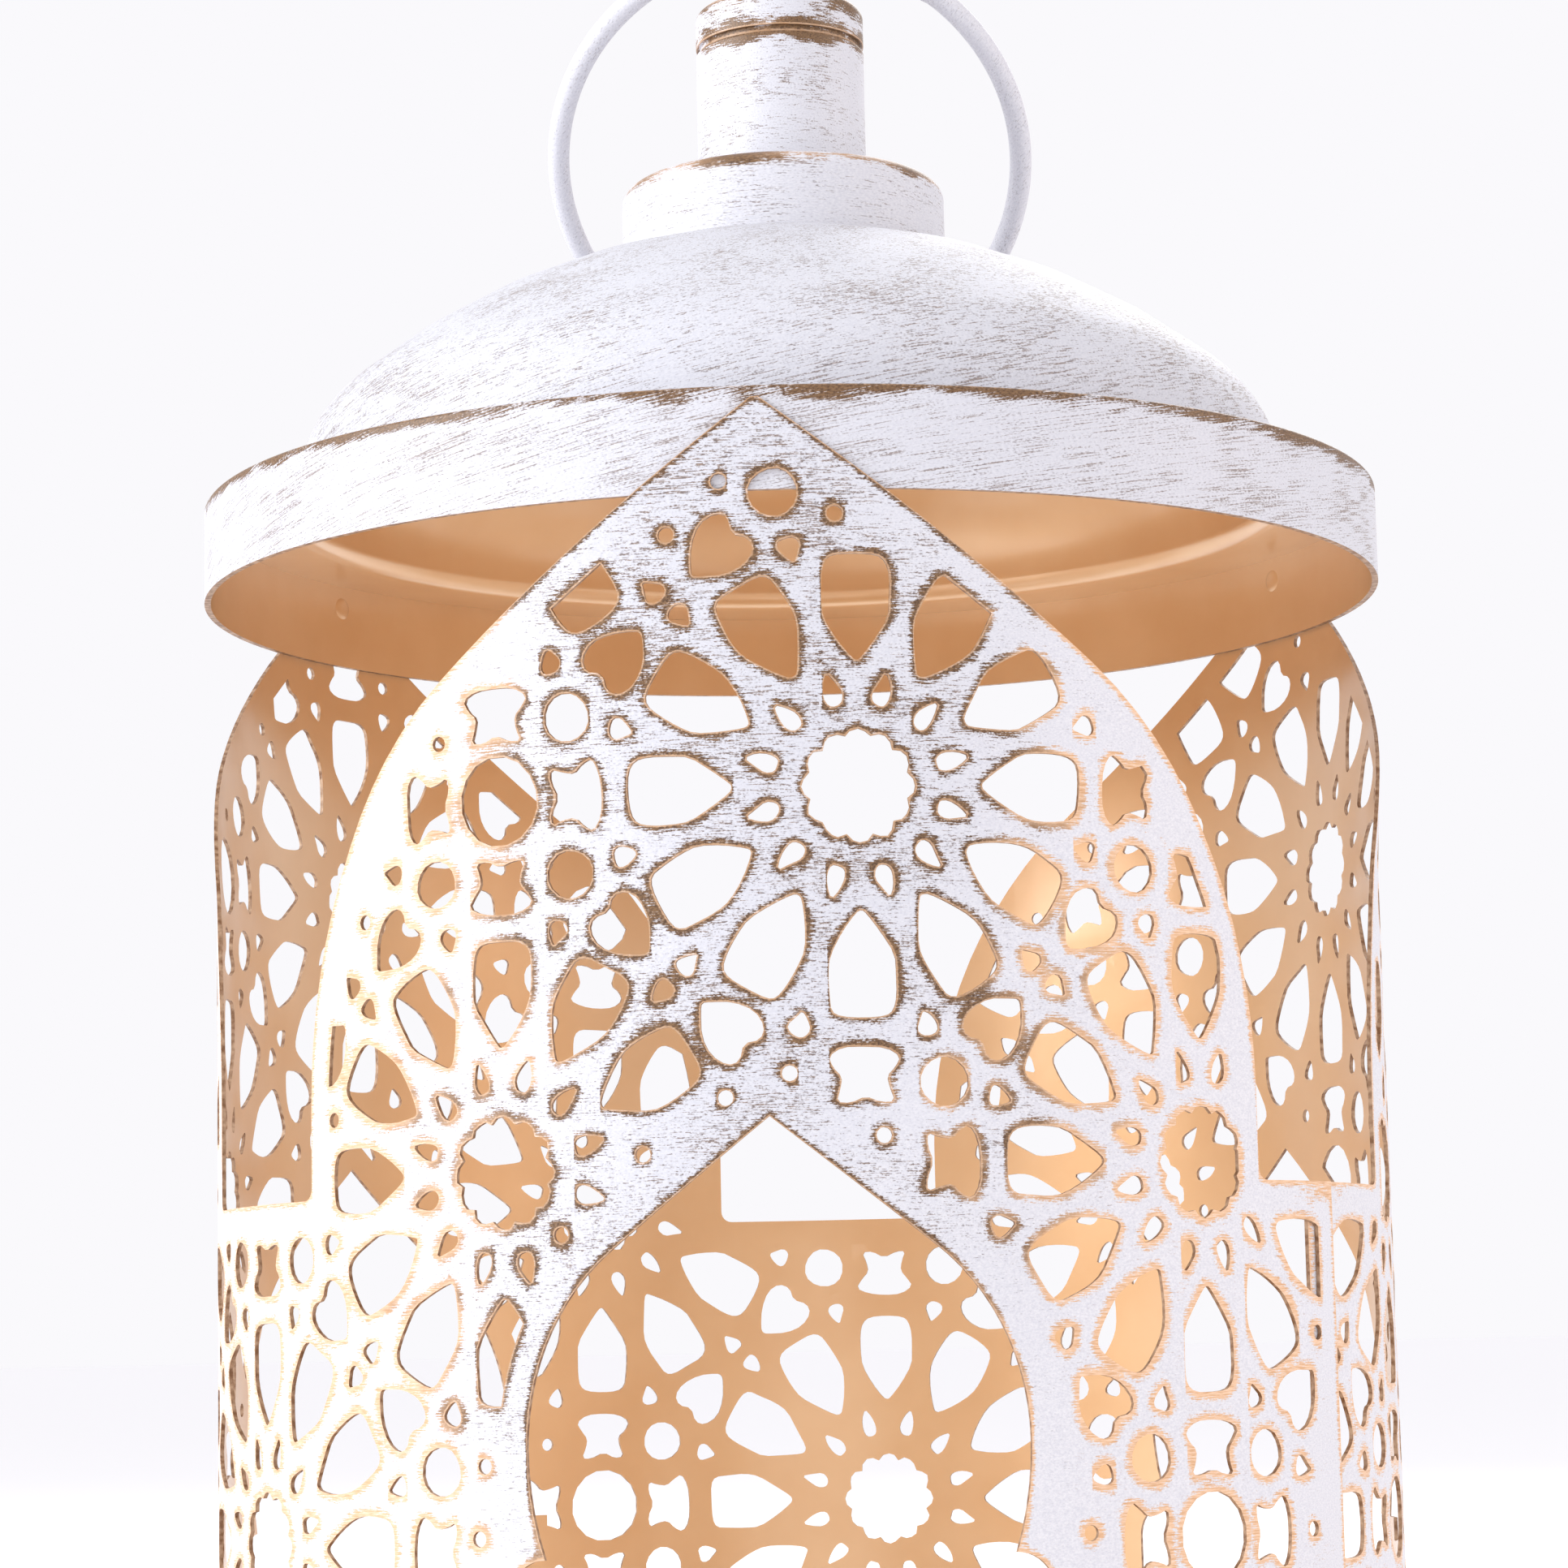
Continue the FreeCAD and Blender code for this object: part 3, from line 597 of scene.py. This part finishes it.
steel = within(strip)
for loop in doorways + kept:
    steel &= ~within(loop)
border = ~within(field)
for band in frames:
    border |= within(band)
for loop in clipped:
    steel &= ~(within(loop) & ~border)
shell = bmesh.new()
corners = [shell.verts.new((p[0] * MM, 0.0, p[1] * MM)) for p in flat]
for number in np.flatnonzero(steel):
    shell.faces.new([corners[i] for i in triangles[number]])
bmesh.ops.delete(shell, geom=[v for v in shell.verts if not v.link_faces], context="VERTS")
print("flat sheet", len(shell.verts), "points", len(shell.faces), "triangles")

# %% [markdown]
# The sheet gets its thickness while it is still flat, by extruding all of it half a millimetre,
# and is then rolled: the way along the strip turns into an angle and the depth into a smaller
# radius, so every cut edge points at the axis, as it does on sheet that was cut flat. Before
# the roll, the nearest wall to each point gives its distance from a cut. At the seam the outer
# end is lifted by a thickness and a hair, so that it lies on the inner end. The upper half of
# each arch leans out a little, because its tip laps over the skirt of the cap.

# %% Thicken and roll the shell
extruded = bmesh.ops.extrude_face_region(shell, geom=shell.faces[:])["geom"]
bmesh.ops.translate(shell, vec=(0.0, SHEET * MM, 0.0),
                    verts=[g for g in extruded if isinstance(g, bmesh.types.BMVert)])
bmesh.ops.recalc_face_normals(shell, faces=shell.faces[:])
shell.verts.index_update()
walls = []
for face in shell.faces:
    middle = face.calc_center_median() / MM
    face.material_index = 0 if middle.y < 0.01 * SHEET else 1 if middle.y > 0.99 * SHEET else 2
    if face.material_index == 2:
        walls.append(([v.index for v in face.verts], (middle.x, middle.z)))
at_hole = in_field([place for _, place in walls])
places = [v.co.copy() for v in shell.verts]
hole_walls, outline_walls = [
    BVHTree.FromPolygons(places, [wall for (wall, _), hole in zip(walls, at_hole) if hole == kind])
    for kind in (True, False)]
OUTLINE_HOLDS = 1.5  # the smooth outline caught less glaze: its distances count this much more
SEAM_GAP = 0.04  # the hair between the seam's two ends, in millimetres
rim = shell.verts.layers.float.new("rim")
umber = shell.verts.layers.float.new("umber")
LIFT_FROM, LIFT_TO = seam - 13.0, seam - SEAM_LAP


def glaze_kept(s, z):
    """How much umber stays: most in the middle of the arches, least beside them and low down."""
    off_middle = abs((s + 4.0 + arch_pitch / 2) % arch_pitch - arch_pitch / 2)
    side = 1.15 - off_middle / 42.0
    low = min(0.0, (z - LEDGE + 22.0) / 45.0)
    swirl = math.sin(s / 17.0 + z / 23.0) * 0.12 + math.sin(s / 7.3 - z / 11.0) * 0.08
    return min(1.0, max(0.0, side + low + swirl))


for v in shell.verts:
    s, depth, z = (c / MM for c in v.co)
    v[rim] = min(hole_walls.find_nearest(v.co)[3],
                 outline_walls.find_nearest(v.co)[3] * OUTLINE_HOLDS) / MM
    v[umber] = glaze_kept(s, z)
    lean = ARCH_LEAN * min(1.0, max(0.0, (z - LEAN_FROM) / (SKIRT_LOW - LEAN_FROM)))
    rise = min(1.0, max(0.0, (s - LIFT_FROM) / (LIFT_TO - LIFT_FROM)))
    radius = RADIUS - depth + lean + (SHEET + SEAM_GAP) * rise * rise * (3 - 2 * rise)
    turn = s / RADIUS
    v.co = (radius * MM * math.sin(turn), -radius * MM * math.cos(turn), z * MM)
print("shell", len(shell.verts), "points, walls", len(walls))


# %% [markdown]
# Every piece is finished the same way: smooth shading with a crease where two faces meet
# sharply, its finishes in the order outside, inside and cut edge, and then its place in the
# frame, that is the body it moves with and the CAD node that it stands for.

# %% Finish a piece
def piece(name, bm, finishes, slot, *nodes, body="lantern", crease=32.0):
    """Makes the object; an edge sharper than crease, in degrees, stays sharp."""
    for face in bm.faces:
        face.smooth = True
    mesh = bpy.data.meshes.new(name)
    bm.to_mesh(mesh)
    bm.free()
    mesh.set_sharp_from_angle(angle=math.radians(crease))
    for finish in finishes:
        mesh.materials.append(finish)
    obj = bpy.data.objects.new(name, mesh)
    scene.collection.objects.link(obj)
    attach(obj, body)
    if nodes:
        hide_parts(*nodes)
    print(name, sum(len(p.vertices) - 2 for p in mesh.polygons), "triangles")
    return obj


piece("pierced_shell", shell, sheet_finishes, "antique_white", "body_shell")

# %% [markdown]
# The other sheet parts are round, so each is drawn as half a section and spun. The section is
# drawn like a pen line: a straight run is an extruded point, an arc is the point spun about the
# arc's centre. Long runs are divided, so that the glaze has points to fade between. The wall is
# then given with the solidify operator, which leaves the inside and the cut edge to be told
# apart by what they touch.

# %% Draw, spin and thicken a section
SEGMENTS = 192
WEAR_STEP = 1.6  # longest straight run between points of a section, in millimetres


def section(start, *moves):
    """A section in XZ: (x, z) is a straight run, (x, z, degrees) a turn about a centre."""
    bm = bmesh.new()
    tip = bm.verts.new((start[0] * MM, 0.0, start[1] * MM))
    for move in moves:
        if len(move) == 2:
            goal = Vector((move[0] * MM, 0.0, move[1] * MM))
            runs = max(1, round((goal - tip.co).length / (WEAR_STEP * MM)))
            origin = tip.co.copy()
            for i in range(1, runs + 1):
                tip = bmesh.ops.extrude_vert_indiv(bm, verts=[tip])["verts"][0]
                tip.co = origin.lerp(goal, i / runs)
        else:
            steps = max(3, round(abs(move[2]) / 6.0))
            last = bmesh.ops.spin(bm, geom=[tip], cent=(move[0] * MM, 0.0, move[1] * MM),
                                  axis=(0.0, -1.0, 0.0), angle=math.radians(move[2]),
                                  steps=steps)["geom_last"]
            tip = next(g for g in last if isinstance(g, bmesh.types.BMVert))
    return bm


def spun(bm, segments=SEGMENTS):
    """Spins a section about the lantern's axis."""
    bmesh.ops.spin(bm, geom=bm.verts[:] + bm.edges[:], cent=(0, 0, 0), axis=(0, 0, 1),
                   angle=math.tau, steps=segments, use_merge=True)
    bmesh.ops.remove_doubles(bm, verts=bm.verts[:], dist=1e-6)
    bmesh.ops.recalc_face_normals(bm, faces=bm.faces[:])
    return bm


def walled(bm, thickness):
    """Gives a spun skin its wall, towards the inside, and tells the three finishes apart."""
    outside = set(bm.faces)
    bmesh.ops.solidify(bm, geom=bm.faces[:], thickness=thickness * MM)
    for face in set(bm.faces) - outside:
        touched = {other for edge in face.edges for other in edge.link_faces}
        face.material_index = 2 if touched & outside else 1
    return bm


def weathered(bm, worn, kept=0.55, reach=99.0):
    """Writes the glaze's two numbers; worn lists the (radius, height) of the edges it caught on.

    Where worn is empty, reach stands in for the distance.
    """
    rim = bm.verts.layers.float.new("rim")
    umber = bm.verts.layers.float.new("umber")
    for v in bm.verts:
        around = math.hypot(v.co.x, v.co.y) / MM
        v[rim] = min([math.hypot(around - r, v.co.z / MM - z) for r, z in worn], default=reach)
        v[umber] = kept
    return bm


# %% [markdown]
# The cap is one disc, spun on a lathe over a form: a plumb skirt that the arches are welded to,
# a flat shoulder with a sharp outer corner, and the dome, whose side turns in a tighter arc than
# its crown. The corner of the shoulder is the one edge of the cap that caught the glaze.

# %% Spun cap
WALL = 0.8
SHOULDER, CROWN_RISE = LEDGE + 90.5, 36.4
SKIRT = RADIUS - SHEET + ARCH_LEAN
DOME_FOOT, DOME_BEND, DOME_SIDE = 64.8, 1.5, 18.0
CORNER = 0.5
side_centre = DOME_FOOT - DOME_SIDE
side_gap = CROWN_RISE - DOME_BEND - DOME_SIDE
centre_drop = (side_centre ** 2 - side_gap ** 2) / (2 * side_gap)
crown_radius = CROWN_RISE - DOME_BEND + centre_drop
crown = SHOULDER + CROWN_RISE
crown_centre = crown - crown_radius
spring = SHOULDER + DOME_BEND
side_turn = math.degrees(math.atan2(centre_drop, side_centre))
ROD_HOLE = 2.1
crown_turn = 90.0 - side_turn - math.degrees(math.asin(ROD_HOLE / crown_radius))


def on_crown(radius):
    """Height of the dome at a radius near its top."""
    return crown_centre + math.sqrt(crown_radius ** 2 - radius ** 2)


cap = section(
    (SKIRT, SKIRT_LOW), (SKIRT, SHOULDER - CORNER), (SKIRT - CORNER, SHOULDER - CORNER, 90.0),
    (DOME_FOOT + DOME_BEND, SHOULDER), (DOME_FOOT + DOME_BEND, spring, -90.0),
    (side_centre, spring, side_turn), (0.0, crown_centre, crown_turn))
cap = weathered(walled(spun(cap), WALL),
                [(SKIRT, SHOULDER)], kept=0.85)
piece("spun_cap", cap, (enamel_leaning, lacquer, edge_glaze_and_painted_shade), "antique_white", "cap")

# %% [markdown]
# The stem is three parts on the tie rod: a drawn collar that sits on the dome, a tube, and a cap
# pressed into it. The glaze gathers in the groove between tube and cap. They are brushed round
# the stem, so the marks are level.

# %% Collar, tube and stem cap
COLLAR, COLLAR_RISE, COLLAR_EDGE = 21.4, 7.4, 2.0
STEM, TUBE_RISE, STEM_WALL = 11.2, 18.9, 0.8
GROOVE, GROOVE_GAP, CAP_RISE, CAP_EDGE, SPIGOT = 0.5, 0.8, 5.0, 1.4, 4.0
collar_top = crown + COLLAR_RISE
tube_top = collar_top + TUBE_RISE
cap_foot = tube_top + GROOVE_GAP
stem_top = cap_foot + CAP_RISE
collar_foot = on_crown(COLLAR) + 0.02
collar = section((COLLAR, collar_foot), (COLLAR, collar_top - COLLAR_EDGE),
                 (COLLAR - COLLAR_EDGE, collar_top - COLLAR_EDGE, 90.0), (ROD_HOLE, collar_top))
collar = weathered(walled(spun(collar), STEM_WALL),
                   [(COLLAR - 0.3, collar_top - 0.3), (STEM, collar_top)], kept=0.45)
piece("drawn_collar", collar, (enamel_stem, lacquer, edge_glaze_and_painted_shade), "antique_white", "collar")
tube = section((STEM, collar_top), (STEM, tube_top - GROOVE),
               (STEM - GROOVE, tube_top - GROOVE, 90.0))
tube = weathered(walled(spun(tube, 128), STEM_WALL), [(STEM, collar_top), (STEM, tube_top)])
piece("stem_sleeve", tube, (enamel_stem, lacquer, edge_glaze_and_painted_shade), "antique_white", "stem_tube")
bore = STEM - STEM_WALL - 0.1
stem_cap = section((ROD_HOLE, tube_top - SPIGOT), (bore, tube_top - SPIGOT), (bore, tube_top),
                   (STEM - GROOVE, tube_top), (STEM - GROOVE, cap_foot), (STEM, cap_foot),
                   (STEM, stem_top - CAP_EDGE), (STEM - CAP_EDGE, stem_top - CAP_EDGE, 90.0),
                   (ROD_HOLE, stem_top), (ROD_HOLE, tube_top - SPIGOT))
stem_cap = weathered(spun(stem_cap, 128), [(STEM - GROOVE, tube_top), (STEM, cap_foot),
                                           (STEM - 0.4, stem_top - 0.4)])
piece("stem_lid", stem_cap, (enamel_stem,), "antique_white", "stem_cap")

# %% [markdown]
# The knob is turned from a bar: a short neck and a ball, with a blind bore for the rod from
# below and a cross hole for the ring. The cross hole is cut with a Boolean, because it meets
# the ball in a curve that no spin gives, and its two mouths are then bevelled a third of a
# millimetre, as a countersink would leave them.

# %% Knob with its eye
NECK, BALL, EYE_RISE, EYE = 5.6, 7.5, 9.4, 3.0
ROD, ROD_GRIP = 2.0, 4.5
eye_height = stem_top + EYE_RISE
neck_turn = math.degrees(math.asin(NECK / BALL))
neck_top = eye_height - math.sqrt(BALL ** 2 - NECK ** 2)
knob = section((ROD, stem_top), (NECK, stem_top), (NECK, neck_top),
               (0.0, eye_height, 180.0 - neck_turn))
knob_mesh = bpy.data.meshes.new("knob_blank")
knob = spun(knob, 128)
floor_edges = [e for e in knob.edges if e.is_boundary]
bmesh.ops.extrude_edge_only(knob, edges=floor_edges)
mouth = [v for v in knob.verts if v.is_boundary]
bmesh.ops.translate(knob, verts=mouth, vec=(0, 0, ROD_GRIP * MM))
bmesh.ops.contextual_create(knob, geom=[e for e in knob.edges if e.is_boundary])
bmesh.ops.recalc_face_normals(knob, faces=knob.faces[:])
knob.to_mesh(knob_mesh)
knob.free()
drill = bmesh.new()
bmesh.ops.create_cone(drill, cap_ends=True, segments=64, radius1=EYE * MM, radius2=EYE * MM,
                      depth=4 * BALL * MM, matrix=Matrix.Translation((0, 0, eye_height * MM))
                      @ Matrix.Rotation(math.pi / 2, 4, "Y"))
drill_mesh = bpy.data.meshes.new("drill")
drill.to_mesh(drill_mesh)
drill.free()
blank, bit = [bpy.data.objects.new(m.name, m) for m in (knob_mesh, drill_mesh)]
for obj in (blank, bit):
    scene.collection.objects.link(obj)
cut = blank.modifiers.new("eye", "BOOLEAN")
cut.operation, cut.solver, cut.object = "DIFFERENCE", "EXACT", bit
settled = bpy.context.evaluated_depsgraph_get()
drilled = bpy.data.meshes.new_from_object(blank.evaluated_get(settled))
for obj in (blank, bit):
    bpy.data.objects.remove(obj)
knob = bmesh.new()
knob.from_mesh(drilled)


def off_eye(v):
    """Distance of a point from the axis of the eye, in millimetres."""
    return math.hypot(v.co.y, v.co.z - eye_height * MM) / MM


mouths = [e for e in knob.edges if e.calc_face_angle(0.0) > 0.5
          and all(abs(off_eye(v) - EYE) < 0.02 for v in e.verts)]
bmesh.ops.bevel(knob, geom=mouths, offset=0.35 * MM, segments=3, profile=0.5, material=-1,
                affect="EDGES", clamp_overlap=True)
knob = weathered(knob, [(NECK, neck_top), (NECK, stem_top)])
rim = knob.verts.layers.float["rim"]
for v in knob.verts:
    v[rim] = min(v[rim], max(0.0, off_eye(v) - EYE))
piece("turned_knob", knob, (enamel_stem,), "antique_white", "knob")

# %% [markdown]
# The ring is a bent length of 3 mm wire whose ends meet in a butt weld, which shows as a small
# swelling. It is one circle spun about the ring's axis. The swelling is made by moving points
# outwards from the wire's middle near the weld, and the weld lies on the right, not far from
# the eye.

# %% Hanging ring
RING, WIRE, RESTS_OFF = 32.0, 1.5, 0.35
eye_above = eye_height - crown_centre
reach = crown_radius + WIRE + RESTS_OFF
lean = math.acos((4 * RING ** 2 + eye_above ** 2 - reach ** 2) / (4 * eye_above * RING))
ring_place = (Matrix.Translation((0, RING * MM * math.sin(lean),
                                  (eye_height - RING * math.cos(lean)) * MM))
              @ Matrix.Rotation(lean - math.pi / 2, 4, "X"))
ring = bmesh.new()
bmesh.ops.create_circle(ring, segments=24, radius=WIRE * MM, matrix=Matrix.Translation(
    (RING * MM, 0, 0)) @ Matrix.Rotation(math.pi / 2, 4, "X"))
spun(ring, 160)
WELD_AT, WELD_LENGTH, WELD_SWELL = math.radians(-52), 1.1, 0.16
for v in ring.verts:
    turn = math.atan2(v.co.y, v.co.x)
    middle = Vector((math.cos(turn), math.sin(turn), 0)) * RING * MM
    away = (turn - WELD_AT) * RING / WELD_LENGTH
    v.co = middle + (v.co - middle) * (1 + WELD_SWELL * math.exp(-away * away))
ring = weathered(ring, [], kept=0.5)
bmesh.ops.transform(ring, verts=ring.verts[:], matrix=ring_place)
piece("wire_ring", ring, (enamel_ring,), "antique_white", "hanging_ring", body="ring")

# %% [markdown]
# The base is a shallow pan whose edge is rolled into a bead that the lantern stands on; its
# upstand is welded inside the shell. The bead is enamelled with the outside, the rest keeps its
# lacquer. On it lies a dished plate, riveted on by the candle's pin.

# %% Base pan, candle plate and pin
BEAD, BEAD_WIDTH, BEAD_EDGE, PAN, UPSTAND = RADIUS + 2.1, 4.0, 1.2, 0.8, 10.0
inner = RADIUS - SHEET
PIN_HOLE = 2.1
pan = section((PIN_HOLE, FOOT - PAN), (BEAD - BEAD_WIDTH, FOOT - PAN), (BEAD - BEAD_WIDTH, 0.0),
              (BEAD - BEAD_EDGE, 0.0), (BEAD - BEAD_EDGE, BEAD_EDGE, 90.0),
              (BEAD, FOOT - BEAD_EDGE), (BEAD - BEAD_EDGE, FOOT - BEAD_EDGE, 90.0), (inner, FOOT),
              (inner, FOOT + UPSTAND), (inner - PAN, FOOT + UPSTAND), (inner - PAN, FOOT),
              (PIN_HOLE, FOOT), (PIN_HOLE, FOOT - PAN))
pan = weathered(spun(pan), [(RADIUS, FOOT), (BEAD - 0.3, 0.0)])
for face in pan.faces:
    middle = face.calc_center_median() / MM
    face.material_index = 0 if middle.z < FOOT + 0.01 and middle.xy.length > inner - 0.9 else 1
piece("base_with_bead", pan, (enamel_level, lacquer), "antique_white", "base_pan")

PLATE, PLATE_RIM, PLATE_EDGE, PLATE_WALL = 36.0, 6.0, 2.0, 0.8
plate_corner = (PLATE - PLATE_EDGE, FOOT + PLATE_EDGE)
plate = section((PIN_HOLE, FOOT), (PLATE - PLATE_EDGE, FOOT), (*plate_corner, 90.0),
                (PLATE, FOOT + PLATE_RIM - 0.3), (PLATE - 0.4, FOOT + PLATE_RIM - 0.4, 180.0),
                (PLATE - PLATE_WALL, FOOT + PLATE_EDGE), (*plate_corner, -90.0),
                (PIN_HOLE, FOOT + PLATE_WALL), (PIN_HOLE, FOOT))
piece("candle_dish", spun(plate, 128), (lacquer,), "gold_lacquer", "candle_plate")
HEAD, HEAD_RISE, SHANK, SPIKE, SPIKE_RISE, SPIKE_TIP = 4.0, 1.0, 2.0, 1.5, 10.0, 16.0
top, under = FOOT + PLATE_WALL, FOOT - PAN
pin = section((0.0, under - HEAD_RISE), (HEAD, under - HEAD_RISE), (HEAD, under), (SHANK, under),
              (SHANK, top), (SPIKE, top), (SPIKE, top + SPIKE_RISE), (0.0, top + SPIKE_TIP))
piece("candle_spike", spun(pin, 48), (lacquer,), "gold_lacquer", "candle_pin")

# %% [markdown]
# Under the dome, the rod that holds the stem together ends in a thread, with a nut and a washer
# on it. The thread is drawn as plain rings, not as a helix. The washer is right as the CAD model
# has it and only gets its finish. Inside the skirt, each arch tip was spot welded, which leaves
# a small round mark in the lacquer.

# %% Rod, nut, washer and weld marks
THREAD, THREAD_DEPTH = 0.7, 0.32
rod_low, rod_high = [c.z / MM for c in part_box("tie_rod")]
nut_low, nut_high = [c.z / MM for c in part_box("rod_nut")]
turns = int((nut_high - rod_low) / THREAD)
zigzag = [(ROD - THREAD_DEPTH * (i % 2), rod_low + 0.3 + THREAD * i / 2) for i in range(2 * turns)]
rod = section((0.0, rod_low), (ROD - THREAD_DEPTH, rod_low), *zigzag, (ROD, nut_high),
              (ROD, rod_high), (0.0, rod_high))
piece("threaded_rod", spun(rod, 48), (plated,), "plated_steel", "tie_rod")
NUT_FLATS, NUT_CHAMFER = 7.0, 0.45
across = NUT_FLATS / math.sqrt(3)
nut = section((ROD, nut_low), (across - NUT_CHAMFER, nut_low), (across, nut_low + NUT_CHAMFER / 2),
              (across, nut_high - NUT_CHAMFER / 2), (across - NUT_CHAMFER, nut_high),
              (ROD, nut_high), (ROD, nut_low))
piece("hex_nut", spun(nut, 6), (plated,), "plated_steel", "rod_nut", crease=20.0)
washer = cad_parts["rod_washer"]
washer.data.materials.clear()
washer.data.materials.append(plated)

WELD, WELD_RISE, WELD_HEIGHT = 1.5, 0.22, LEDGE + 86.6
marks = bmesh.new()
for number in range(ARCHES):
    mark = section((WELD, 0.0), (WELD * 0.6, WELD_RISE), (0.0, WELD_RISE * 0.6))
    spun(mark, 20)
    face_in = (Matrix.Rotation(-number * math.tau / ARCHES, 4, "Z")
               @ Matrix.Translation((0, (-SKIRT + WALL + 0.02) * MM, WELD_HEIGHT * MM))
               @ Matrix.Rotation(-math.pi / 2, 4, "X"))
    bmesh.ops.transform(mark, verts=mark.verts[:], matrix=face_in)
    mark_mesh = bpy.data.meshes.new("mark")
    mark.to_mesh(mark_mesh)
    mark.free()
    marks.from_mesh(mark_mesh)
piece("weld_marks", marks, (lacquer,), "gold_lacquer")
